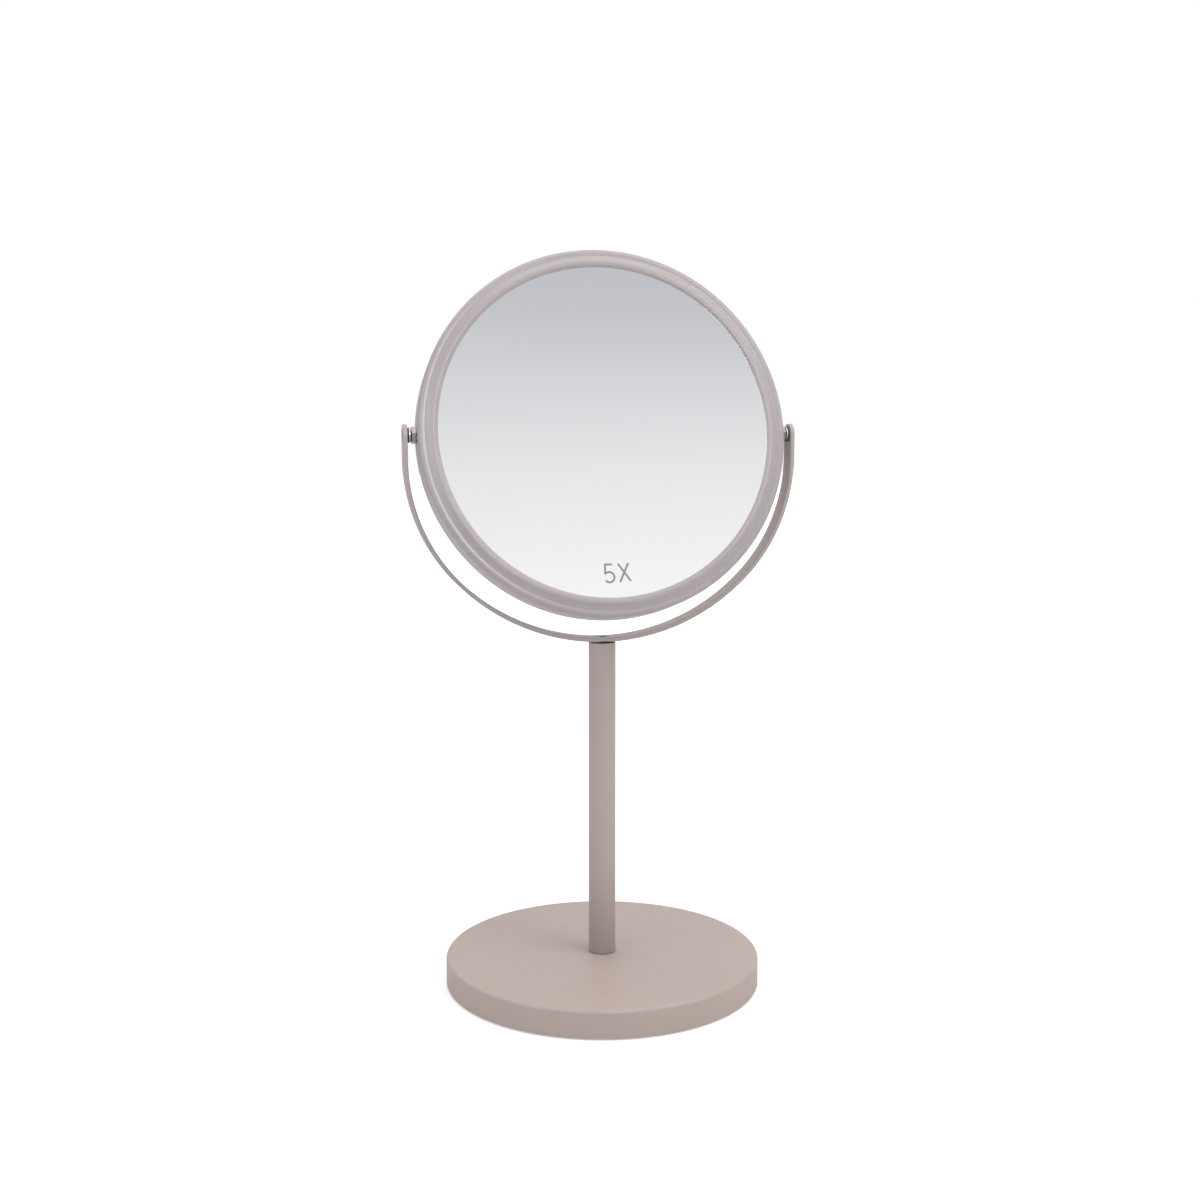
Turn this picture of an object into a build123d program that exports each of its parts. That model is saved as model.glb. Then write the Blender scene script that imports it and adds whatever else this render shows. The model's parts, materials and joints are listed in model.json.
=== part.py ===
from build123d import *
import os
from math import cos, radians, sin, sqrt

# A two-sided mirror on a table stand: a weighted round base, a tube stem, a U-shaped yoke,
# and a round head that turns over between the arms of the yoke.
# Millimetres. +Z is up, the mirror faces -Y, and the pivots lie along X.
# The origin is the middle of the face that the base stands on.

# Base
base_diameter = 148.0
base_height = 13.4
base_wall = 1.2
base_edge_radius = 1.6
base_inner_chamfer = 0.5
pad_thickness = 2.4
pad_stand_out = 0.6
pad_clearance = 0.3
ballast_clearance = 0.3
ballast_bore_diameter = 26.0

# Stem
stem_diameter = 12.7
stem_wall = 1.0
stem_length = 149.0
stem_end_chamfer = 0.3
plug_clearance = 0.03
plug_length = 16.0
collar_thickness = 0.5
collar_setback = 0.7

# Yoke
strip_width = 9.8
strip_thickness = 2.0
strip_edge_break = 0.3
bend_change_angle = 45.0
arm_straight_length = 10.6

# Mirror head
head_diameter = 170.0
head_tilt = 13.2
head_bottom_gap = 8.4
band_width = 16.8
band_wall = 1.0
band_flange_width = 3.2
band_edge_radius = 2.2
band_inner_chamfer = 0.8
bezel_width = 5.6
bezel_wall = 0.7
bezel_lip_height = 0.6
bezel_lip_foot = 0.7
bezel_crest_rise = 0.65
bezel_crest_reach = 2.1
bezel_bead_width = 3.5
bezel_bead_rise = 0.15
bezel_edge_stand_out = 0.05
bezel_skirt_depth = 4.4
bezel_clearance = 0.05

# Glasses and what lies between them
glass_thickness = 2.0
glass_overlap = 2.4
glass_seat_height = 8.7
glass_clearance = 0.3
magnifier_curve_radius = 600.0
spacer_inner_width = 4.4
spacer_web_width = 3.4
spacer_rim_drop = 0.9
spacer_clearance = 0.25
seat_gap = 0.05
core_pad_clearance = 0.3

# Screws, nuts and washers
running_fit = 0.1
thread_fit = 0.05
pivot_screw_diameter = 4.0
pivot_screw_head_diameter = 7.4
pivot_screw_head_land = 0.2
pivot_screw_length = 11.6
lock_nut_width = 7.0
lock_nut_thickness = 2.2
nut_corner_angle = 30.0
flat_washer_diameter = 6.6
flat_washer_thickness = 0.8
dished_washer_diameter = 7.0
dished_washer_height = 1.0
dished_washer_sheet = 0.45
pivot_bush_diameter = 8.0
pivot_bush_wall_gap = 0.2
pivot_bush_length = 4.2
yoke_screw_length = 12.0
base_screw_diameter = 6.0
base_screw_length = 16.0
base_screw_head_width = 10.0
base_screw_head_height = 4.0
base_hole_clearance = 0.3
base_washer_diameter = 18.0
base_washer_thickness = 1.6
base_spring_washer_diameter = 11.8
base_spring_washer_thickness = 1.6
base_spring_washer_slot = 1.0
screw_point_chamfer = 0.6

# Places worked out from the sizes above
base_radius = base_diameter / 2
rim_bottom = pad_stand_out
shell_ceiling = base_height - base_wall
stem_radius = stem_diameter / 2
stem_bore_radius = stem_radius - stem_wall
plug_radius = stem_bore_radius - plug_clearance
stem_top = base_height + stem_length
yoke_bottom = stem_top + collar_thickness
head_radius = head_diameter / 2
pivot_height = yoke_bottom + strip_thickness + head_bottom_gap + head_radius

dished_washer_start = head_radius + lock_nut_thickness
flat_washer_start = dished_washer_start + dished_washer_height + running_fit
arm_inside = flat_washer_start + flat_washer_thickness
arm_outside = arm_inside + strip_thickness

band_half_width = band_width / 2
band_inside_radius = head_radius - band_wall
mouth_radius = head_radius - band_flange_width
bezel_outer_radius = mouth_radius - bezel_clearance
lip_radius = bezel_outer_radius - bezel_width
skirt_inside_radius = bezel_outer_radius - bezel_wall
glass_radius = lip_radius + glass_overlap
seat_radius = lip_radius + bezel_lip_foot
magnifier_middle = glass_seat_height - seat_radius**2 / (2 * magnifier_curve_radius)
screw_radius = pivot_screw_diameter / 2

# Radii that differ by less than this are the same
same_size = 0.0001


def outline(*pieces):
    """Closed face from lines and arcs that are drawn end to end."""
    return make_face(Curve() + list(pieces))


def turned(face):
    """Solid of revolution about Z, from a face drawn as radius and height."""
    return revolve(Plane.XZ * face, Axis.Z)


def tube(outer_radius, inner_radius, bottom, top):
    section = Circle(outer_radius) - Circle(inner_radius)
    return Pos(0, 0, bottom) * extrude(section, top - bottom)


def disc(radius, bottom, top):
    return Pos(0, 0, bottom) * extrude(Circle(radius), top - bottom)


def circles(solid, radius):
    """Circular edges of this radius."""
    round_edges = solid.edges().filter_by(GeomType.CIRCLE)
    return round_edges.filter_by(lambda edge: abs(edge.radius - radius) < same_size)


def hex_block(width, bottom, top):
    """Hexagon across flats, with its corners turned down at both faces."""
    block = Pos(0, 0, bottom) * extrude(RegularPolygon(width / 2, 6, major_radius=False), top - bottom)
    corner_radius = width / sqrt(3)
    corner_width = corner_radius - width / 2
    corner_height = corner_width * sin(radians(nut_corner_angle)) / cos(radians(nut_corner_angle))
    turned_blank = turned(
        outline(
            Polyline(
                (0, bottom),
                (width / 2, bottom),
                (corner_radius, bottom + corner_height),
                (corner_radius, top - corner_height),
                (width / 2, top),
                (0, top),
                close=True,
            )
        )
    )
    return block & turned_blank


def countersunk_screw(length):
    """Flat-headed screw with its head face at Z = 0 and its shank below."""
    cone_radius = pivot_screw_head_diameter / 2
    cone_end = pivot_screw_head_land + cone_radius - screw_radius
    return turned(
        outline(
            Polyline(
                (0, 0),
                (cone_radius, 0),
                (cone_radius, -pivot_screw_head_land),
                (screw_radius, -cone_end),
                (screw_radius, -length + screw_point_chamfer),
                (screw_radius - screw_point_chamfer, -length),
                (0, -length),
                close=True,
            )
        )
    )


def countersunk_hole(depth):
    """What is cut away for a flat-headed screw, wider than the screw by the running fit."""
    cone_radius = pivot_screw_head_diameter / 2 + running_fit
    hole_radius = screw_radius + running_fit
    cone_end = pivot_screw_head_land + cone_radius - hole_radius
    return turned(
        outline(
            Polyline(
                (0, running_fit),
                (cone_radius, running_fit),
                (cone_radius, -pivot_screw_head_land),
                (hole_radius, -cone_end),
                (hole_radius, -depth),
                (0, -depth),
                close=True,
            )
        )
    )


# Base pieces


def make_base_shell():
    hole_radius = base_screw_diameter / 2 + base_hole_clearance
    shell = turned(
        outline(
            Polyline(
                (hole_radius, base_height),
                (base_radius, base_height),
                (base_radius, rim_bottom),
                (base_radius - base_wall, rim_bottom),
                (base_radius - base_wall, shell_ceiling),
                (hole_radius, shell_ceiling),
                close=True,
            )
        )
    )
    shell = fillet(circles(shell, base_radius).sort_by(Axis.Z)[-1], base_edge_radius)
    inner_edge = circles(shell, base_radius - base_wall).sort_by(Axis.Z)[-1]
    return chamfer(inner_edge, base_inner_chamfer)


def make_base_pad():
    return disc(base_radius - base_wall - pad_clearance, 0, pad_thickness)


def make_ballast():
    radius = base_radius - base_wall - base_inner_chamfer - ballast_clearance
    return tube(radius, ballast_bore_diameter / 2, pad_thickness, shell_ceiling - seat_gap)


def make_base_washer():
    bore = base_screw_diameter / 2 + base_hole_clearance
    top = shell_ceiling
    return tube(base_washer_diameter / 2, bore, top - base_washer_thickness, top)


def make_base_spring_washer():
    """Split ring under the head of the base screw."""
    bore = base_screw_diameter / 2 + base_hole_clearance
    top = shell_ceiling - base_washer_thickness
    bottom = top - base_spring_washer_thickness
    ring = tube(base_spring_washer_diameter / 2, bore, bottom, top)
    reach = base_spring_washer_diameter
    slot = Box(base_spring_washer_slot, reach, reach, align=(Align.CENTER, Align.MIN, Align.CENTER))
    return ring - Pos(0, 0, top) * slot


def make_base_screw():
    head_top = shell_ceiling - base_washer_thickness - base_spring_washer_thickness
    head_bottom = head_top - base_screw_head_height
    tip = head_top + base_screw_length
    shank_radius = base_screw_diameter / 2
    shank = turned(
        outline(
            Polyline(
                (0, head_top),
                (shank_radius, head_top),
                (shank_radius, tip - screw_point_chamfer),
                (shank_radius - screw_point_chamfer, tip),
                (0, tip),
                close=True,
            )
        )
    )
    return hex_block(base_screw_head_width, head_bottom, head_top) + shank


# Stem pieces


def make_stem_tube():
    stem = tube(stem_radius, stem_bore_radius, base_height, stem_top)
    return chamfer(circles(stem, stem_radius), stem_end_chamfer)


def make_stem_lower_plug():
    bore = base_screw_diameter / 2 + thread_fit
    return tube(plug_radius, bore, base_height, base_height + plug_length)


def make_stem_upper_plug():
    """Threaded plug whose thin collar stands on the end of the tube and carries the yoke."""
    bore = screw_radius + thread_fit
    body = tube(plug_radius, bore, stem_top - plug_length, stem_top)
    return body + tube(stem_radius - collar_setback, bore, stem_top, yoke_bottom)


# Yoke pieces


def yoke_curve(half_width, depth):
    """U of three arcs that meet in line, with straight arms up to the ends of the strip.

    The side arcs are level with the end of the arms, and the arc between them reaches
    down by depth. It gives the edges and the two upper ends.
    """
    angle = radians(bend_change_angle)
    radius_change = (half_width - depth) / (sin(angle) + cos(angle) - 1)
    side_radius = half_width - radius_change * sin(angle)
    bottom_radius = side_radius + radius_change
    side_x = half_width - side_radius
    spring_z = pivot_height - arm_straight_length
    bottom_z = spring_z - depth + bottom_radius
    end_z = pivot_height + strip_width / 2
    sweep = bend_change_angle
    left_arm = Line((-half_width, end_z), (-half_width, spring_z))
    left_side = CenterArc((-side_x, spring_z), side_radius, 180, 90 - sweep)
    bottom = CenterArc((0, bottom_z), bottom_radius, 270 - sweep, 2 * sweep)
    right_side = CenterArc((side_x, spring_z), side_radius, 270 + sweep, 90 - sweep)
    right_arm = Line((half_width, spring_z), (half_width, end_z))
    return [left_arm, left_side, bottom, right_side, right_arm], (-half_width, end_z), (half_width, end_z)


def make_yoke():
    """Flat strip bent to a U, with full round ends and three countersunk holes."""
    inner_depth = pivot_height - arm_straight_length - yoke_bottom - strip_thickness
    outer_edges, outer_left, outer_right = yoke_curve(arm_outside, inner_depth + strip_thickness)
    inner_edges, inner_left, inner_right = yoke_curve(arm_inside, inner_depth)
    ends = [Line(outer_left, inner_left), Line(inner_right, outer_right)]
    profile = outline(*outer_edges, *inner_edges, *ends)
    strip = extrude(Plane.XZ * profile, strip_width / 2, both=True)

    # Side view of the strip: straight edges that run into a half circle round each pivot
    side_height = pivot_height - yoke_bottom + strip_width
    straight_part = Pos(0, pivot_height - side_height / 2) * Rectangle(strip_width, side_height)
    side_view = straight_part + Pos(0, pivot_height) * Circle(strip_width / 2)
    strip = strip & extrude(Plane.YZ * side_view, 2 * arm_outside, both=True)

    # All the edges along the strip are broken, but not the joins that run through its thickness
    side_edges = strip.faces().filter_by(Axis.Y).edges().filter_by(Axis.X, reverse=True)
    edge_break = min(strip_edge_break, strip_thickness / 3)
    strip = chamfer(side_edges + circles(strip, strip_width / 2), edge_break)

    hole = countersunk_hole(2 * strip_thickness)
    right_hole = Pos(arm_outside, 0, pivot_height) * Rot(0, 90, 0) * hole
    left_hole = Pos(-arm_outside, 0, pivot_height) * Rot(0, -90, 0) * hole
    middle_hole = Pos(0, 0, yoke_bottom + strip_thickness) * hole
    return strip - right_hole - left_hole - middle_hole


def make_yoke_screw():
    return Pos(0, 0, yoke_bottom + strip_thickness) * countersunk_screw(yoke_screw_length)


# Mirror head pieces, drawn about Z with the magnifying side up, and then set in place


def in_head(piece):
    """Turn a piece of the head to face -Y, lean it back and lift it to the pivots."""
    return Pos(0, 0, pivot_height) * Rot(90 - head_tilt, 0, 0) * piece


def flipped(piece):
    """The same piece on the other face of the head."""
    return Rot(180, 0, 0) * piece


def on_right_pivot(piece, distance):
    """Lay a piece that is drawn along Z out along +X, from this distance off the middle."""
    return Pos(distance, 0, 0) * Rot(0, 90, 0) * piece


def make_frame_band():
    """Channel-shaped ring with rounded shoulders and a hole on each side for the pivots."""
    upper = band_half_width
    lower = -band_half_width
    channel = turned(
        outline(
            Polyline(
                (mouth_radius, upper),
                (head_radius, upper),
                (head_radius, lower),
                (mouth_radius, lower),
                (mouth_radius, lower + band_wall),
                (band_inside_radius, lower + band_wall),
                (band_inside_radius, upper - band_wall),
                (mouth_radius, upper - band_wall),
                close=True,
            )
        )
    )
    channel = fillet(circles(channel, head_radius), band_edge_radius)
    channel = chamfer(circles(channel, band_inside_radius), band_inner_chamfer)
    hole_radius = screw_radius + thread_fit
    holes = Rot(0, 90, 0) * extrude(Circle(hole_radius), head_diameter, both=True)
    return channel - holes


def make_bezel():
    """Pressed ring: a rounded bead round the glass that runs out level with the face of the
    band, and a skirt that fits the band's mouth."""
    lip_top = glass_seat_height + bezel_lip_height
    crest = (lip_radius + bezel_crest_reach, lip_top + bezel_crest_rise)
    bead_end = (lip_radius + bezel_bead_width, lip_top + bezel_bead_rise)
    edge_height = band_half_width + bezel_edge_stand_out
    skirt_end = glass_seat_height - bezel_skirt_depth
    bead = ThreePointArc((lip_radius, lip_top), crest, bead_end)
    run_out = TangentArc(bead_end, (bezel_outer_radius, edge_height), tangent=bead % 1)
    inside = Polyline(
        (bezel_outer_radius, edge_height),
        (bezel_outer_radius, skirt_end),
        (skirt_inside_radius, skirt_end),
        (skirt_inside_radius, edge_height - bezel_wall),
        (crest[0], crest[1] - bezel_wall),
        (seat_radius, glass_seat_height),
        (lip_radius, glass_seat_height),
        (lip_radius, lip_top),
    )
    return turned(outline(bead, run_out, inside))


def dished_cut(middle_height, curve_radius):
    """Ball whose lowest point is at this height, for cutting a concave face."""
    return Pos(0, 0, middle_height + curve_radius) * Sphere(curve_radius)


def make_magnifying_mirror():
    """Concave glass of even thickness, cut from between two balls."""
    blank = disc(glass_radius, magnifier_middle - 2 * glass_thickness, glass_seat_height + glass_thickness)
    back = blank & dished_cut(magnifier_middle - glass_thickness - seat_gap, magnifier_curve_radius + glass_thickness)
    return back - dished_cut(magnifier_middle - seat_gap, magnifier_curve_radius)


def make_plain_mirror():
    top = glass_seat_height - seat_gap
    return flipped(disc(glass_radius, top - glass_thickness, top))


def magnifier_back_height(radius):
    """Height of the back of the magnifying glass at this radius."""
    back_radius = magnifier_curve_radius + glass_thickness
    lowest = magnifier_middle - seat_gap - glass_thickness
    return lowest + back_radius - sqrt(back_radius**2 - radius**2)


def make_glass_spacer():
    """Ring with a web between the two glasses and a rim round the edge of each."""
    web_inside = glass_radius - spacer_inner_width
    web_outside = web_inside + spacer_web_width
    rim_inside = glass_radius + glass_clearance
    rim_outside = skirt_inside_radius - spacer_clearance
    rim_top = glass_seat_height - spacer_rim_drop
    web_top = magnifier_back_height(web_inside) - seat_gap
    web_bottom = -(glass_seat_height - 2 * seat_gap - glass_thickness)
    ledge_height = glass_seat_height - bezel_skirt_depth
    return turned(
        outline(
            Polyline(
                (web_inside, web_top),
                (rim_inside, web_top),
                (rim_inside, rim_top),
                (rim_outside, rim_top),
                (rim_outside, ledge_height),
                (web_outside, ledge_height),
                (web_outside, -ledge_height),
                (rim_outside, -ledge_height),
                (rim_outside, -rim_top),
                (rim_inside, -rim_top),
                (rim_inside, web_bottom),
                (web_inside, web_bottom),
                close=True,
            )
        )
    )


def make_core_pad():
    radius = glass_radius - spacer_inner_width - core_pad_clearance
    bottom = -(glass_seat_height - 2 * seat_gap - glass_thickness)
    blank = disc(radius, bottom, glass_seat_height)
    back_middle = magnifier_middle - glass_thickness - 2 * seat_gap
    return blank - dished_cut(back_middle, magnifier_curve_radius + glass_thickness)


def make_pivot_screw():
    screw = Rot(0, 90, 0) * countersunk_screw(pivot_screw_length)
    return Pos(arm_outside, 0, 0) * screw


def make_lock_nut():
    blank = hex_block(lock_nut_width, 0, lock_nut_thickness)
    thread = disc(screw_radius + thread_fit, 0, lock_nut_thickness)
    return on_right_pivot(blank - thread, head_radius)


def make_dished_washer():
    """Cone-shaped spring washer, its small end against the nut."""
    bore = screw_radius + thread_fit
    rim = dished_washer_diameter / 2
    rise = dished_washer_height - dished_washer_sheet
    cone = turned(
        outline(
            Polyline(
                (bore, 0),
                (rim, rise),
                (rim, dished_washer_height),
                (bore, dished_washer_sheet),
                close=True,
            )
        )
    )
    return on_right_pivot(cone, dished_washer_start)


def make_flat_washer():
    washer = tube(flat_washer_diameter / 2, screw_radius + running_fit, 0, flat_washer_thickness)
    return Pos(0, 0, pivot_height) * on_right_pivot(washer, flat_washer_start)


def make_pivot_bush():
    """Round threaded bush behind the side wall of the band."""
    bush_radius = pivot_bush_diameter / 2
    far_end = sqrt(band_inside_radius**2 - bush_radius**2) - pivot_bush_wall_gap
    bush = tube(bush_radius, screw_radius + thread_fit, 0, pivot_bush_length)
    return on_right_pivot(bush, far_end - pivot_bush_length)


def mirrored(piece):
    """The left-hand twin of a right-hand piece."""
    return Rot(0, 0, 180) * piece


def make_parts():
    parts = {
        "base_shell": make_base_shell(),
        "base_pad": make_base_pad(),
        "ballast": make_ballast(),
        "base_washer": make_base_washer(),
        "base_spring_washer": make_base_spring_washer(),
        "base_screw": make_base_screw(),
        "stem_tube": make_stem_tube(),
        "stem_lower_plug": make_stem_lower_plug(),
        "stem_upper_plug": make_stem_upper_plug(),
        "yoke": make_yoke(),
        "yoke_screw": make_yoke_screw(),
        "right_flat_washer": make_flat_washer(),
        "left_flat_washer": mirrored(make_flat_washer()),
        "frame_band": in_head(make_frame_band()),
        "front_bezel": in_head(make_bezel()),
        "rear_bezel": in_head(flipped(make_bezel())),
        "magnifying_mirror": in_head(make_magnifying_mirror()),
        "plain_mirror": in_head(make_plain_mirror()),
        "glass_spacer": in_head(make_glass_spacer()),
        "core_pad": in_head(make_core_pad()),
    }
    head_hardware = {
        "pivot_screw": make_pivot_screw(),
        "lock_nut": make_lock_nut(),
        "dished_washer": make_dished_washer(),
        "pivot_bush": make_pivot_bush(),
    }
    for name, piece in head_hardware.items():
        parts["right_" + name] = in_head(piece)
        parts["left_" + name] = in_head(mirrored(piece))
    return parts


os.makedirs("parts", exist_ok=True)
for part_name, part_shape in make_parts().items():
    export_step(part_shape, "parts/" + part_name + ".step")
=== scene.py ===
import json
import math

import bmesh
import bpy
from mathutils import Euler, Matrix, Vector


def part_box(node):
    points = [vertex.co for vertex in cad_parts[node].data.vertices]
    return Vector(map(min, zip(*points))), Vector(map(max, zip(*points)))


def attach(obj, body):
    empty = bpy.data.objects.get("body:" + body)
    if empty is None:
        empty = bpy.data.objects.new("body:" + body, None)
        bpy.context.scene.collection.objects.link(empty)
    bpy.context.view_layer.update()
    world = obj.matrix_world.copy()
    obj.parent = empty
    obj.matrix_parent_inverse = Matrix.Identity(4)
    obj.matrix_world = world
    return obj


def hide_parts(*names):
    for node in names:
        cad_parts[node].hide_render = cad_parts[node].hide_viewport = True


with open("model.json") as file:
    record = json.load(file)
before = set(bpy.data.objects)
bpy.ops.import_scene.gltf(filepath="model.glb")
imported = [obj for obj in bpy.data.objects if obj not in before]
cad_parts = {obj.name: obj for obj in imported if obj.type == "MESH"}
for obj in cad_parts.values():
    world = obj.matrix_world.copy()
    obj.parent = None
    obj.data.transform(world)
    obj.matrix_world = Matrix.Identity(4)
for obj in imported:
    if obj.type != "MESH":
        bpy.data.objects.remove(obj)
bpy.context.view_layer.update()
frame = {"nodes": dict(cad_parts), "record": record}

# Looks of a two-sided table mirror: matt paint on the stand, satin paint on the rim,
# silvered glass, nickel hardware with real screw detail, and the power mark on the glass.
# Metres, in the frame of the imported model: +Z up, the magnifying side faces -Y.

MM = 0.001

# Camera that took the view, fitted to the outlines of the base, stem, yoke and rim
camera_distance = 0.6936
camera_height = 0.26789
camera_turn = math.radians(12.16)
camera_pan = math.radians(-0.08)
camera_pitch = math.radians(7.06)
camera_lens = 45.15
sensor_width = 36.0

# Head pose and the magnifying glass, as they are in the solids
head_lean = math.radians(13.2)
pivot_place = (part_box("right_lock_nut")[0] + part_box("left_lock_nut")[1]) / 2
glass_radius = 78.55 * MM
glass_thickness = 2.0 * MM
glass_curve_radius = 600 * MM
glass_middle_height = 3.7284 * MM
glass_segments = 180
glass_rings = 60

# Rim, as it is in the solids: radius out from the axis and height above the middle of the head
rim_segments = 288
rim_arc_steps = 14
head_radius = 85.0 * MM
band_half_width = 8.4 * MM
band_wall = 1.0 * MM
band_edge_radius = 2.2 * MM
band_inner_chamfer = 0.8 * MM
mouth_radius = 81.8 * MM
pivot_hole_radius = 2.05 * MM
bezel_outer_radius = 81.75 * MM
bezel_wall = 0.7 * MM
lip_radius = 76.15 * MM
lip_top = 9.3 * MM
lip_slope = 39.31
crest = (78.25 * MM, 9.95 * MM)
bead_end = (79.65 * MM, 9.45 * MM)
bezel_edge_height = 8.45 * MM
bezel_skirt_end = 4.3 * MM
glass_seat = (76.85 * MM, 8.7 * MM)

# Power mark on the glass: width and thickness of its strokes
mark_stroke = 0.88 * MM
mark_thickness = 0.03 * MM
mark_arc_steps = 24

# Stem: how far up from its foot the painted shade reaches, and the height of the painted line of contact
# shade where it meets the base
stem_shade_reach = 42 * MM
stem_contact_shade_height = 0.7 * MM

# Screws
screw_radius = 2.0 * MM
screw_head_radius = 3.7 * MM
screw_head_land = 0.2 * MM
screw_head_edge = 0.05 * MM
screw_point = 0.6 * MM
thread_pitch = 0.7 * MM
thread_depth = 0.38 * MM
thread_flat = 0.12
recess_reach = 2.2 * MM
recess_slot = 1.0 * MM
recess_depth = 1.7 * MM
recess_overshoot = 0.1 * MM
yoke_screw_turn = math.radians(20)

# Edges sharper than this stay sharp on the meshes made here
crease_angle = math.radians(35)

# Studio
floor_half = 6.0
floor_drop = 0.02 * MM
light_aim = Vector((0, 0, 0.16))


class Recipe:
    """Nodes of one material, or of the world, with short ways to add and link them."""

    def __init__(self, owner):
        owner.use_nodes = True
        self.tree = owner.node_tree
        self.tree.nodes.clear()

    def node(self, kind, inputs=None, **settings):
        """Add a node. An input that is a socket is linked, and any other is set."""
        made = self.tree.nodes.new(kind)
        for name, value in settings.items():
            setattr(made, name, value)
        for name, value in (inputs or {}).items():
            if isinstance(value, bpy.types.NodeSocket):
                self.tree.links.new(value, made.inputs[name])
            else:
                made.inputs[name].default_value = value
        return made

    def noise(self, coordinates, scale, detail=2.0, roughness=0.5):
        """Soft noise with this many features to the metre."""
        inputs = {"Vector": coordinates, "Scale": scale, "Detail": detail, "Roughness": roughness}
        return self.node("ShaderNodeTexNoise", inputs).outputs["Fac"]

    def spread(self, value, low, high, start=0.3, end=0.7):
        """Take a noise value from its usual range to the range low to high."""
        inputs = {"Value": value, "From Min": start, "From Max": end, "To Min": low, "To Max": high}
        return self.node("ShaderNodeMapRange", inputs).outputs["Result"]

    def blend(self, factor, first, second):
        """Mix two colours. The node's colour sockets are numbered, as their names occur more than once."""
        mix = self.node("ShaderNodeMix", data_type="RGBA")
        for index, value in ((0, factor), (6, first), (7, second)):
            if isinstance(value, bpy.types.NodeSocket):
                self.tree.links.new(value, mix.inputs[index])
            elif index:
                mix.inputs[index].default_value = (*value, 1.0)
            else:
                mix.inputs[index].default_value = value
        return mix.outputs[2]

    def math(self, operation, first, second):
        """Arithmetic on two values."""
        return self.node("ShaderNodeMath", {0: first, 1: second}, operation=operation).outputs[0]

    def bump(self, height, strength, distance):
        """Normal that follows a height."""
        inputs = {"Height": height, "Strength": strength, "Distance": distance}
        return self.node("ShaderNodeBump", inputs).outputs["Normal"]

    def object_place(self):
        return self.node("ShaderNodeTexCoord").outputs["Object"]

    def finish_surface(self, shader):
        self.node("ShaderNodeOutputMaterial", {"Surface": shader})


def principled(recipe, color, roughness, normal=None, **fixed):
    """Main shader. What is the same all over is set on its own socket."""
    inputs = {"Base Color": color, "Roughness": roughness}
    if normal is not None:
        inputs["Normal"] = normal
    inputs.update({name.replace("_", " "): value for name, value in fixed.items()})
    return recipe.node("ShaderNodeBsdfPrincipled", inputs).outputs["BSDF"]


def surface(name, build):
    material = bpy.data.materials.new(name)
    build(Recipe(material))
    return material


# Materials


def paint_color(recipe, place, cloud_scale, cloud_colors, speck_scale, speck_colors, speck_share):
    """Faint clouds between two colours, with fine specks of two others over them."""
    clouds = recipe.spread(recipe.noise(place, cloud_scale, 3.0), 0.0, 1.0)
    specks = recipe.spread(recipe.noise(place, speck_scale), 0.0, 1.0, 0.35, 0.65)
    plain = recipe.blend(clouds, *cloud_colors)
    return recipe.blend(speck_share, plain, recipe.blend(specks, *speck_colors))


def paint_skin(recipe, place, color, gloss, peel, specular):
    """Gloss (noise scale and two roughnesses) and fine orange peel (noise scale, strength and depth)."""
    gloss_scale, smooth, rough = gloss
    peel_scale, strength, depth = peel
    roughness = recipe.spread(recipe.noise(place, gloss_scale), smooth, rough)
    normal = recipe.bump(recipe.noise(place, peel_scale), strength, depth)
    recipe.finish_surface(principled(recipe, color, roughness, normal, Specular_IOR_Level=specular))


def stand_paint(recipe):
    """Matt powder coat: a fine orange-peel skin with faint clouds and specks in its colour."""
    place = recipe.object_place()
    clouds = ((0.505, 0.405, 0.368), (0.525, 0.425, 0.388))
    specks = ((0.46, 0.365, 0.33), (0.56, 0.455, 0.415))
    color = paint_color(recipe, place, 22.0, clouds, 2600.0, specks, 0.22)
    paint_skin(recipe, place, color, (420.0, 0.42, 0.5), (1500.0, 0.08, 0.12 * MM), 0.45)


def stem_paint(recipe):
    """The stand's paint with painted shade: darker towards where the tube meets the base, and a painted
    line of contact shade at its foot.
    """
    place = recipe.object_place()
    height = recipe.node("ShaderNodeSeparateXYZ", {"Vector": place}).outputs["Z"]
    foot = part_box("stem_tube")[0].z
    shade = recipe.spread(height, 1.0, 0.0, foot, foot + stem_shade_reach)
    contact_shade_line = recipe.spread(height, 1.0, 0.0, foot, foot + stem_contact_shade_height)
    clouds = ((0.49, 0.408, 0.382), (0.51, 0.426, 0.4))
    specks = ((0.45, 0.37, 0.345), (0.55, 0.46, 0.43))
    color = paint_color(recipe, place, 22.0, clouds, 2600.0, specks, 0.22)
    # Painted shade: the colour darkens towards the base, and a near-black painted contact-shade line sits
    # at the very foot of the tube.
    color = recipe.blend(shade, color, (0.37, 0.3, 0.285))
    color = recipe.blend(contact_shade_line, color, (0.12, 0.1, 0.095))
    paint_skin(recipe, place, color, (420.0, 0.46, 0.56), (1500.0, 0.12, 0.12 * MM), 0.45)


def yoke_paint(recipe):
    """The stand's paint on the polished strip, a little smoother and greyer."""
    place = recipe.object_place()
    clouds = ((0.49, 0.42, 0.4), (0.515, 0.44, 0.42))
    specks = ((0.46, 0.39, 0.37), (0.54, 0.465, 0.445))
    color = paint_color(recipe, place, 24.0, clouds, 2200.0, specks, 0.15)
    paint_skin(recipe, place, color, (200.0, 0.34, 0.42), (900.0, 0.04, 0.1 * MM), 0.5)


def rim_paint(recipe):
    """Satin paint over a polished ring: smoother and shinier than the stand."""
    place = recipe.object_place()
    clouds = ((0.45, 0.394, 0.392), (0.472, 0.414, 0.411))
    specks = ((0.43, 0.376, 0.374), (0.49, 0.43, 0.427))
    color = paint_color(recipe, place, 30.0, clouds, 1800.0, specks, 0.08)
    paint_skin(recipe, place, color, (60.0, 0.28, 0.31), (260.0, 0.012, 0.1 * MM), 0.5)


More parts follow.
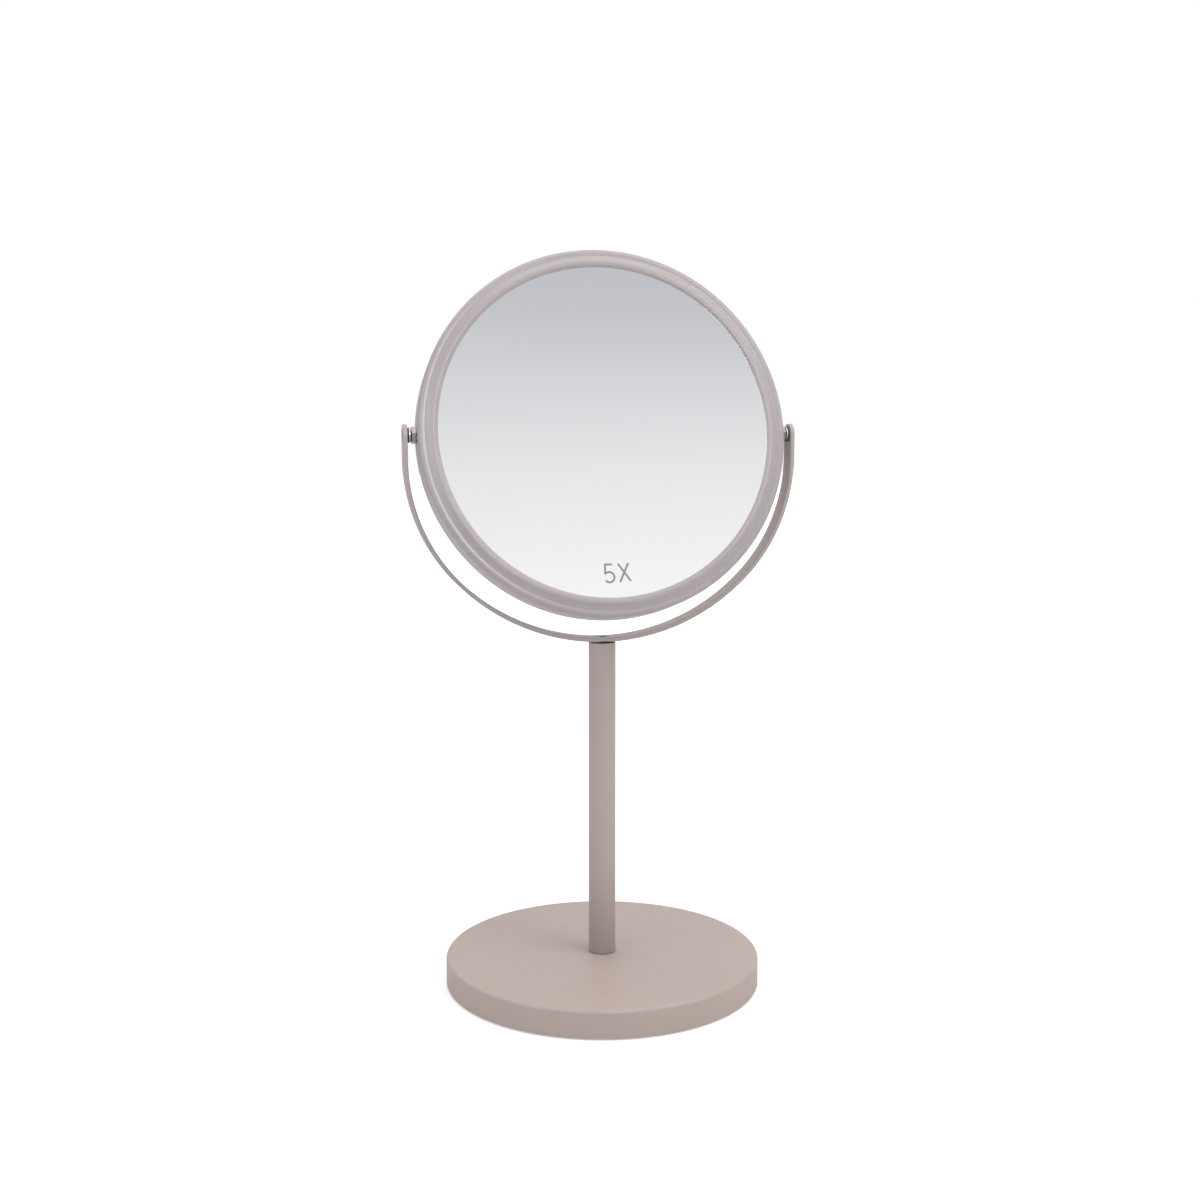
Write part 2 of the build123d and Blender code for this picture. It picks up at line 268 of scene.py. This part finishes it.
def mirror_glass(recipe):
    """Silver behind clear glass, with a trace of dust in its gloss."""
    place = recipe.object_place()
    haze = recipe.spread(recipe.noise(place, 18.0, 4.0), 0.0, 0.012)
    dust = recipe.spread(recipe.noise(place, 3200.0, 1.0), 0.0, 0.05, 0.68, 0.8)
    roughness = recipe.math("ADD", haze, dust)
    tint = recipe.blend(recipe.noise(place, 12.0), (0.953, 0.958, 0.96), (0.962, 0.965, 0.967))
    shader = principled(recipe, tint, roughness, Metallic=1.0, Coat_Weight=0.1, Coat_Roughness=0.01)
    recipe.finish_surface(shader)


def mark_paint(recipe):
    """Grey print with a slightly uneven ink."""
    place = recipe.object_place()
    ink = recipe.spread(recipe.noise(place, 900.0, 3.0), 0.0, 1.0)
    color = recipe.blend(ink, (0.215, 0.205, 0.225), (0.255, 0.245, 0.265))
    recipe.finish_surface(principled(recipe, color, 0.5))


def pad_foam(recipe):
    """Closed-cell foam: dark, with small pores."""
    place = recipe.object_place()
    voronoi = recipe.node("ShaderNodeTexVoronoi", {"Vector": place, "Scale": 1300.0})
    cells = voronoi.outputs["Distance"]
    pores = recipe.spread(cells, 0.0, 1.0, 0.05, 0.5)
    color = recipe.blend(pores, (0.008, 0.008, 0.009), (0.024, 0.024, 0.026))
    normal = recipe.bump(cells, 0.6, 0.2 * MM)
    recipe.finish_surface(principled(recipe, color, 0.85, normal))


def cast_cement(recipe):
    """Grey cement with sand grains."""
    place = recipe.object_place()
    grains = recipe.spread(recipe.noise(place, 1100.0, 5.0, 0.7), 0.0, 1.0)
    clouds = recipe.spread(recipe.noise(place, 60.0, 4.0), 0.0, 1.0)
    color = recipe.blend(grains, (0.3, 0.29, 0.27), (0.5, 0.49, 0.46))
    color = recipe.blend(clouds, color, (0.4, 0.39, 0.37))
    normal = recipe.bump(grains, 0.5, 0.3 * MM)
    recipe.finish_surface(principled(recipe, color, 0.9, normal))


def plated_metal(recipe, light, dark, roughness_low, roughness_high):
    """Plated steel: patchy gloss and fine turning marks."""
    place = recipe.object_place()
    patches = recipe.spread(recipe.noise(place, 260.0, 4.0), 0.0, 1.0)
    color = recipe.blend(patches, light, dark)
    roughness = recipe.spread(recipe.noise(place, 900.0, 3.0), roughness_low, roughness_high)
    normal = recipe.bump(recipe.noise(place, 2400.0, 2.0), 0.08, 0.05 * MM)
    recipe.finish_surface(principled(recipe, color, roughness, normal, Metallic=1.0))


def pivot_nickel(recipe):
    plated_metal(recipe, (0.3, 0.28, 0.265), (0.19, 0.175, 0.16), 0.14, 0.28)


def hardware_steel(recipe):
    plated_metal(recipe, (0.62, 0.61, 0.59), (0.47, 0.46, 0.44), 0.28, 0.45)


# The plug under the yoke is a real part; its near-black colour is painted shade that stands in for the
# shade in the narrow gap between the tube and the yoke.
def gap_shade_dark_steel(recipe):
    plated_metal(recipe, (0.05, 0.045, 0.043), (0.025, 0.023, 0.022), 0.4, 0.55)


def washer_nylon(recipe):
    """Dark moulded washer with a fine grain."""
    place = recipe.object_place()
    grain = recipe.spread(recipe.noise(place, 1400.0, 3.0), 0.0, 1.0)
    color = recipe.blend(grain, (0.04, 0.036, 0.034), (0.075, 0.068, 0.065))
    normal = recipe.bump(grain, 0.1, 0.03 * MM)
    recipe.finish_surface(principled(recipe, color, 0.5, normal))


def spacer_plastic(recipe):
    """Moulded plastic with a faint grain."""
    place = recipe.object_place()
    clouds = recipe.spread(recipe.noise(place, 40.0, 2.0), 0.0, 1.0)
    color = recipe.blend(clouds, (0.74, 0.74, 0.71), (0.8, 0.8, 0.78))
    normal = recipe.bump(recipe.noise(place, 1600.0, 2.0), 0.1, 0.05 * MM)
    recipe.finish_surface(principled(recipe, color, 0.42, normal))


def core_board(recipe):
    """Grey board: pressed fibres with brown and pale flecks."""
    place = recipe.object_place()
    fibres = recipe.spread(recipe.noise(place, 700.0, 6.0, 0.75), 0.0, 1.0)
    color = recipe.blend(fibres, (0.36, 0.27, 0.19), (0.5, 0.4, 0.3))
    normal = recipe.bump(fibres, 0.3, 0.1 * MM)
    recipe.finish_surface(principled(recipe, color, 0.95, normal))


def dress(nodes, material):
    """Give CAD nodes a material in all their slots."""
    for name in nodes:
        slots = frame["nodes"][name].data.materials
        slots.clear()
        slots.append(material)


def dress_all():
    """Give each CAD node the material of its slot in the record."""
    makers = {
        "stand_paint": stand_paint,
        "rim_paint": rim_paint,
        "mirror_glass": mirror_glass,
        "pad_foam": pad_foam,
        "ballast_cement": cast_cement,
        "hardware_steel": hardware_steel,
        "plug_steel": gap_shade_dark_steel,
        "washer_nylon": washer_nylon,
        "pivot_nickel": pivot_nickel,
        "spacer_plastic": spacer_plastic,
        "core_board": core_board,
    }
    made = {}
    for slot_name, build in makers.items():
        made[slot_name] = surface(slot_name, build)
        subparts = frame["record"]["subparts"]
        dress([part["node"] for part in subparts if part["material_slot"] == slot_name], made[slot_name])
    dress(["yoke"], surface("yoke_paint", yoke_paint))
    dress(["stem_tube"], surface("stem_paint", stem_paint))
    return made


# Mesh helpers


def smooth_faces(mesh):
    """Smooth shading that keeps sharp corners."""
    mesh.shade_smooth()
    mesh.set_sharp_from_angle(angle=crease_angle)


def mesh_object(name, bm, material):
    """Turn a bmesh into a shown object with smooth faces and sharp corners."""
    bmesh.ops.recalc_face_normals(bm, faces=bm.faces)
    mesh = bpy.data.meshes.new(name)
    bm.to_mesh(mesh)
    bm.free()
    smooth_faces(mesh)
    mesh.materials.append(material)
    made = bpy.data.objects.new(name, mesh)
    bpy.context.scene.collection.objects.link(made)
    return made


def ring_stack(rows, segments):
    """Closed solid from rows of (height, radius at an angle), with a flat fan at each end."""
    bm = bmesh.new()
    rings = []
    for height, radius_at in rows:
        ring = []
        for i in range(segments):
            angle = 2 * math.pi * i / segments
            radius = radius_at(angle)
            ring.append(bm.verts.new((radius * math.cos(angle), radius * math.sin(angle), height)))
        rings.append(ring)
    for lower, upper in zip(rings, rings[1:]):
        for i in range(segments):
            j = (i + 1) % segments
            bm.faces.new((lower[i], lower[j], upper[j], upper[i]))
    for ring, height in ((rings[0], rows[0][0]), (rings[-1], rows[-1][0])):
        middle = bm.verts.new((0, 0, height))
        for i in range(segments):
            bm.faces.new((ring[i], ring[(i + 1) % segments], middle))
    return bm


def cut_away(target, cutter):
    """Take the cutter's volume out of the target's mesh, and delete the cutter."""
    modifier = target.modifiers.new("cut", "BOOLEAN")
    modifier.operation = "DIFFERENCE"
    modifier.object = cutter
    modifier.solver = "EXACT"
    graph = bpy.context.evaluated_depsgraph_get()
    cut_mesh = bpy.data.meshes.new_from_object(target.evaluated_get(graph))
    target.modifiers.clear()
    target.data = cut_mesh
    bpy.data.objects.remove(cutter)


# Screws


def thread_radius(height, angle):
    """Radius of a 60 degree thread with a small flat at its root and crest."""
    phase = (height / thread_pitch + angle / (2 * math.pi)) % 1.0
    flank = min(1.0, max(0.0, (abs(2 * phase - 1) - thread_flat) / (1 - 2 * thread_flat)))
    return screw_radius - thread_depth * flank


def countersunk_screw(name, length, material):
    """Countersunk machine screw with its head face at Z = 0, a thread and a cross recess."""
    segments = 32
    rows_per_pitch = 8
    cone_end = screw_head_land + screw_head_radius - screw_radius
    thread_start = cone_end + thread_pitch / 2
    thread_end = length - screw_point
    row_count = round((thread_end - thread_start) / thread_pitch * rows_per_pitch)

    def steady(radius):
        return lambda angle: radius

    def threaded(height):
        return lambda angle: thread_radius(height, angle)

    rows = [(0, steady(screw_head_radius - screw_head_edge))]
    rows += [(-depth, steady(screw_head_radius)) for depth in (screw_head_edge, screw_head_land)]
    rows.append((-cone_end, steady(screw_radius)))
    for i in range(row_count + 1):
        height = -(thread_start + (thread_end - thread_start) * i / row_count)
        rows.append((height, threaded(height)))
    rows.append((-length, steady(screw_radius - screw_point)))
    screw = mesh_object(name, ring_stack(rows, segments), material)
    for turn in (0, math.pi / 2):
        cut_away(screw, slot_cutter(turn, material))
    smooth_faces(screw.data)
    return screw


def slot_cutter(turn, material):
    """One tapered bar of the cross recess, for a driver's tip."""
    bm = bmesh.new()
    half = recess_slot / 2
    corners = []
    for height, reach in ((recess_overshoot, recess_reach), (-recess_depth, half)):
        for x, y in ((-reach, -half), (reach, -half), (reach, half), (-reach, half)):
            corners.append(Matrix.Rotation(turn, 3, "Z") @ Vector((x, y, height)))
    verts = [bm.verts.new(corner) for corner in corners]
    bm.faces.new(verts[3::-1])
    bm.faces.new(verts[4:])
    for i in range(4):
        j = (i + 1) % 4
        bm.faces.new((verts[i], verts[j], verts[j + 4], verts[i + 4]))
    return mesh_object("slot_cutter", bm, material)


def place_screws(material):
    """Stand detailed screws in for the plain ones, on the same places."""
    for side, turn in (("right", math.pi / 2), ("left", -math.pi / 2)):
        node = side + "_pivot_screw"
        low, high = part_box(node)
        head_x = high.x if side == "right" else low.x
        screw = countersunk_screw(node + "_detail", high.x - low.x, material)
        head_place = Matrix.Translation((head_x, pivot_place.y, pivot_place.z))
        screw.matrix_world = head_place @ Matrix.Rotation(turn, 4, "Y")
        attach(screw, "mirror_head")
        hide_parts(node)
    low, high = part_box("yoke_screw")
    screw = countersunk_screw("yoke_screw_detail", high.z - low.z, material)
    screw.matrix_world = Matrix.Translation((0, 0, high.z)) @ Matrix.Rotation(yoke_screw_turn, 4, "Z")
    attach(screw, "stand")
    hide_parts("yoke_screw")


# Mirror head, drawn about Z with the front up


def dish_rise(radius, curve_radius):
    """How far a dish of this curve rises from its middle out to this radius."""
    return curve_radius - math.sqrt(curve_radius**2 - radius**2)


def set_in_head(piece):
    """Turn a piece to the front of the head, lean it back and lift it to the pivots."""
    upright = Matrix.Rotation(math.pi / 2 - head_lean, 4, "X")
    piece.matrix_world = Matrix.Translation(pivot_place) @ upright
    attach(piece, "mirror_head")


def bend(start, slope, end):
    """Points of an arc that leaves start at this slope in degrees, and its slope at the end."""
    chord = Vector(end) - Vector(start)
    chord_slope = math.degrees(math.atan2(chord.y, chord.x))
    turn = 2 * (chord_slope - slope)
    radius = chord.length / (2 * math.sin(math.radians(turn / 2)))
    points = []
    for i in range(1, rim_arc_steps + 1):
        part = math.radians(turn * i / rim_arc_steps)
        reach = 2 * radius * math.sin(part / 2)
        way = math.radians(slope) + part / 2
        points.append((start[0] + reach * math.cos(way), start[1] + reach * math.sin(way)))
    return points, slope + turn


def lathe(name, outline, material):
    """Ring turned from a closed outline of (radius, height) points."""
    bm = bmesh.new()
    rings = []
    for i in range(rim_segments):
        angle = 2 * math.pi * i / rim_segments
        across, along = math.cos(angle), math.sin(angle)
        rings.append([bm.verts.new((r * across, r * along, h)) for r, h in outline])
    count = len(outline)
    for i in range(rim_segments):
        this, after = rings[i], rings[(i + 1) % rim_segments]
        for k in range(count):
            m = (k + 1) % count
            bm.faces.new((this[k], this[m], after[m], after[k]))
    return mesh_object(name, bm, material)


def band_outline():
    """Channel with rounded shoulders, from the front mouth round to the rear one."""
    face = band_half_width
    turn_in = band_edge_radius
    inside = head_radius - band_wall
    front = bend((head_radius - turn_in, face), 0, (head_radius, face - turn_in))[0]
    rear = bend((head_radius, turn_in - face), -90, (head_radius - turn_in, -face))[0]
    outer = [(mouth_radius, face), (head_radius - turn_in, face)] + front
    outer += [(head_radius, turn_in - face)] + rear + [(mouth_radius, -face)]
    inner = []
    for side in (-1, 1):
        steps = [(mouth_radius, face - band_wall), (inside - band_inner_chamfer, face - band_wall)]
        steps.append((inside, face - band_wall - band_inner_chamfer))
        steps = [(radius, side * height) for radius, height in steps]
        inner += steps if side < 0 else steps[::-1]
    return outer + inner


def bezel_outline():
    """Bead round the glass that runs out level with the band, and the skirt below it."""
    lip = (lip_radius, lip_top)
    skirt_inside = bezel_outer_radius - bezel_wall
    bead, bead_slope = bend(lip, lip_slope, bead_end)
    run_out = bend(bead_end, bead_slope, (bezel_outer_radius, bezel_edge_height))[0]
    inside = [(bezel_outer_radius, bezel_skirt_end), (skirt_inside, bezel_skirt_end)]
    inside += [(skirt_inside, bezel_edge_height - bezel_wall), (crest[0], crest[1] - bezel_wall)]
    return [lip] + bead + run_out + inside + [glass_seat, (lip_radius, glass_seat[1])]


def pivot_drill(material):
    """Bar along X through both pivots, as wide as the holes for their screws."""
    bm = bmesh.new()
    radius = pivot_hole_radius
    length = 3 * head_radius
    bmesh.ops.create_cone(bm, cap_ends=True, segments=48, radius1=radius, radius2=radius, depth=length)
    bmesh.ops.rotate(bm, verts=bm.verts, matrix=Matrix.Rotation(math.pi / 2, 3, "Y"))
    return mesh_object("pivot_drill", bm, material)


def place_rim(material):
    """Stand finely turned rings in for the band and the bezels."""
    band = lathe("frame_band_detail", band_outline(), material)
    cut_away(band, pivot_drill(material))
    front = bezel_outline()
    rear = [(radius, -height) for radius, height in front]
    pieces = (
        (band, "frame_band"),
        (lathe("front_bezel_detail", front, material), "front_bezel"),
        (lathe("rear_bezel_detail", rear, material), "rear_bezel"),
    )
    for piece, node in pieces:
        set_in_head(piece)
        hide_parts(node)


def place_glass(material):
    """Smooth dished glass of even thickness."""
    bm = bmesh.new()
    back_middle = glass_middle_height - glass_thickness
    back_curve = glass_curve_radius + glass_thickness
    sides = ((glass_middle_height, glass_curve_radius), (back_middle, back_curve))
    edges = []
    for middle_height, curve in sides:
        middle = bm.verts.new((0, 0, middle_height))
        inner = None
        for step in range(1, glass_rings + 1):
            radius = glass_radius * step / glass_rings
            height = middle_height + dish_rise(radius, curve)
            ring = []
            for i in range(glass_segments):
                angle = 2 * math.pi * i / glass_segments
                ring.append(bm.verts.new((radius * math.cos(angle), radius * math.sin(angle), height)))
            for i in range(glass_segments):
                j = (i + 1) % glass_segments
                corners = (inner[i], inner[j], ring[j], ring[i]) if inner else (middle, ring[i], ring[j])
                bm.faces.new(corners)
            inner = ring
        edges.append(inner)
    for i in range(glass_segments):
        j = (i + 1) % glass_segments
        bm.faces.new((edges[0][i], edges[0][j], edges[1][j], edges[1][i]))
    glass = mesh_object("magnifying_mirror_detail", bm, material)
    set_in_head(glass)
    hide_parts("magnifying_mirror")


def glass_height(x, y):
    """Height of the dished face of the magnifying glass above the middle of the head."""
    return glass_middle_height + dish_rise(math.hypot(x, y), glass_curve_radius)


def arc_points(center, radius, start, end):
    """Points on an arc, from one angle to the other in degrees."""
    points = []
    for i in range(mark_arc_steps + 1):
        angle = math.radians(start + (end - start) * i / mark_arc_steps)
        points.append((center[0] + radius * math.cos(angle), center[1] + radius * math.sin(angle)))
    return points


def mark_strokes():
    """Strokes of a five and a cross, as points in millimetres from the middle of the head."""
    five_top = -60.85
    five_left = -3.1
    five_lean = 0.2
    bowl_center = (-1.5, -66.7)
    bowl_radius = 2.35
    five = [(0.1, five_top), (five_left, five_top), (five_left - five_lean, -64.9)]
    five += arc_points(bowl_center, bowl_radius, 135, -140)
    falling_stroke = [(2.85, -60.6), (8.3, -68.7)]
    rising_stroke = [(7.6, -60.4), (3.35, -69.0)]
    return [five, falling_stroke, rising_stroke]


def stroke_ribbon(bm, points):
    """Flat ribbon with mitred bends that follows the dish of the glass."""
    half = mark_stroke / 2
    steps = [Vector(p) * MM for p in points]
    rows = []
    for i, point in enumerate(steps):
        before = (point - steps[i - 1]).normalized() if i else None
        after = (steps[i + 1] - point).normalized() if i + 1 < len(steps) else None
        way = ((before or after) + (after or before)).normalized()
        side = Vector((-way.y, way.x))
        stretch = 1 / max(0.5, way.dot(after or before))
        row = []
        for sign in (-1, 1):
            flat = point + side * (sign * half * stretch)
            for lift in (0, mark_thickness):
                row.append(bm.verts.new((flat.x, flat.y, glass_height(flat.x, flat.y) + lift)))
        rows.append(row)
    for a, b in zip(rows, rows[1:]):
        for i, j in ((0, 1), (1, 3), (3, 2), (2, 0)):
            bm.faces.new((a[i], a[j], b[j], b[i]))
    for row in (rows[0], rows[-1]):
        bm.faces.new((row[0], row[1], row[3], row[2]))


def place_mark():
    """Print the mark on the front of the magnifying glass."""
    bm = bmesh.new()
    for points in mark_strokes():
        stroke_ribbon(bm, points)
    mark = mesh_object("power_mark", bm, surface("mark_paint", mark_paint))
    set_in_head(mark)


# Studio


def backdrop_world():
    """White to the camera, a grey to white sweep in reflections, and even light on the object."""
    world = bpy.data.worlds.new("studio")
    bpy.context.scene.world = world
    recipe = Recipe(world)
    path = recipe.node("ShaderNodeLightPath").outputs
    way = recipe.node("ShaderNodeTexCoord").outputs["Generated"]
    rise = recipe.node("ShaderNodeSeparateXYZ", {"Vector": way}).outputs["Z"]
    ramp = recipe.node("ShaderNodeValToRGB", {"Fac": rise})
    stops = ramp.color_ramp.elements
    sweep = (
        (0.0, (0.6, 0.6, 0.62)),
        (0.28, (0.53, 0.54, 0.57)),
        (0.33, (0.57, 0.58, 0.61)),
        (0.45, (0.825, 0.825, 0.84)),
        (0.56, (0.98, 0.97, 0.985)),
        (1.0, (1.0, 1.0, 1.0)),
    )
    while len(stops) < len(sweep):
        stops.new(1.0)
    for stop, (position, color) in zip(stops, sweep):
        stop.position = position
        stop.color = (*color, 1.0)
    even = recipe.blend(path["Is Glossy Ray"], (0.55, 0.55, 0.56), ramp.outputs["Color"])
    shown = recipe.math("MAXIMUM", path["Is Camera Ray"], path["Is Transmission Ray"])
    color = recipe.blend(shown, even, (1.0, 1.0, 1.0))
    background = recipe.node("ShaderNodeBackground", {"Color": color, "Strength": 1.0})
    recipe.node("ShaderNodeOutputWorld", {"Surface": background.outputs["Background"]})


def floor_surface(recipe):
    """Pale floor that keeps the shadow close by and fades to white further off."""
    path = recipe.node("ShaderNodeLightPath").outputs
    place = recipe.object_place()
    grain = recipe.spread(recipe.noise(place, 300.0, 2.0), 0.0, 1.0)
    color = recipe.blend(grain, (0.8, 0.8, 0.8), (0.82, 0.82, 0.82))
    matt = recipe.node("ShaderNodeBsdfDiffuse", {"Color": color}).outputs["BSDF"]
    far_off = recipe.node("ShaderNodeVectorMath", {0: place}, operation="LENGTH").outputs["Value"]
    lift = recipe.spread(far_off, 0.42, 1.0, 0.1, 1.2)
    reflected_lift = recipe.spread(far_off, 0.0, 1.0, 0.1, 1.6)
    reflected = recipe.blend(reflected_lift, (0.03, 0.01, 0.0), (0.24, 0.24, 0.25))
    shown = recipe.math("MAXIMUM", path["Is Camera Ray"], path["Is Transmission Ray"])
    direct = recipe.math("MULTIPLY", shown, lift)
    strength = recipe.math("ADD", direct, path["Is Glossy Ray"])
    tint = recipe.blend(path["Is Glossy Ray"], (1.0, 1.0, 1.0), reflected)
    glow = recipe.node("ShaderNodeEmission", {"Color": tint, "Strength": strength})
    both = recipe.node("ShaderNodeAddShader", {0: matt, 1: glow.outputs["Emission"]})
    recipe.finish_surface(both.outputs["Shader"])


def make_floor():
    """Square floor just under the base."""
    bm = bmesh.new()
    corners = [(x * floor_half, y * floor_half) for x, y in ((-1, -1), (1, -1), (1, 1), (-1, 1))]
    bm.faces.new([bm.verts.new((x, y, -floor_drop)) for x, y in corners])
    floor = mesh_object("floor", bm, surface("floor", floor_surface))


def mirror_faces():
    """The two glasses, so that the softboxes stay out of their reflections."""
    faces = bpy.data.collections.new("mirror faces")
    for piece in (bpy.data.objects["magnifying_mirror_detail"], frame["nodes"]["plain_mirror"]):
        faces.objects.link(piece)
    for member in faces.collection_objects:
        member.light_linking.link_state = "EXCLUDE"
    return faces


def soft_light(name, turn, rise, distance, size, power, unlit, color=(1, 1, 1), only_gloss=False):
    """Softbox round the object: turn is measured from -Y towards +X, in degrees."""
    lamp = bpy.data.lights.new(name, "AREA")
    lamp.color = color
    lamp.shape = "RECTANGLE"
    lamp.size, lamp.size_y = size
    lamp.energy = power
    made = bpy.data.objects.new(name, lamp)
    around, up = math.radians(turn), math.radians(rise)
    away = Vector((math.sin(around) * math.cos(up), -math.cos(around) * math.cos(up), math.sin(up)))
    made.location = light_aim + away * distance
    made.rotation_mode = "QUATERNION"
    made.rotation_quaternion = away.to_track_quat("Z", "Y")
    made.visible_diffuse = not only_gloss
    made.light_linking.receiver_collection = unlit
    bpy.context.scene.collection.objects.link(made)


def make_lights():
    """Four softboxes that light the object, and two that only draw highlights on its paint."""
    unlit = mirror_faces()
    cool = (0.82, 0.91, 1.0)
    warm = (1.0, 0.95, 0.9)
    strip_blue = (0.84, 0.9, 1.0)
    panel_blue = (0.66, 0.78, 1.0)
    soft_light("key", 52, 42, 1.3, (0.9, 0.9), 5.4, unlit)
    soft_light("fill", -66, 18, 1.3, (0.7, 0.7), 1.8, unlit, cool)
    soft_light("back", -150, 42, 1.3, (0.8, 0.6), 1.6, unlit, warm)
    soft_light("top", 10, 84, 1.2, (1.1, 1.1), 4.9, unlit)
    soft_light("front strip", -1, 25, 1.4, (0.14, 0.55), 5.5, unlit, strip_blue, only_gloss=True)
    soft_light("left panel", -50, 20, 1.3, (0.7, 0.9), 4.6, unlit, panel_blue, only_gloss=True)


def make_camera():
    """Camera of the fitted view."""
    lens = bpy.data.cameras.new("camera")
    lens.sensor_fit = "HORIZONTAL"
    lens.sensor_width = sensor_width
    lens.lens = camera_lens
    lens.clip_start = 0.01
    lens.clip_end = 30.0
    camera = bpy.data.objects.new("camera", lens)
    camera.location = (
        -camera_distance * math.sin(camera_turn),
        -camera_distance * math.cos(camera_turn),
        camera_height,
    )
    camera.rotation_euler = Euler((math.pi / 2 - camera_pitch, 0, -(camera_turn + camera_pan)))
    bpy.context.scene.collection.objects.link(camera)
    bpy.context.scene.camera = camera


finishes = dress_all()
place_screws(finishes["pivot_nickel"])
place_rim(finishes["rim_paint"])
place_glass(finishes["mirror_glass"])
place_mark()
backdrop_world()
make_floor()
make_lights()
make_camera()
bpy.context.scene.view_settings.view_transform = "Standard"
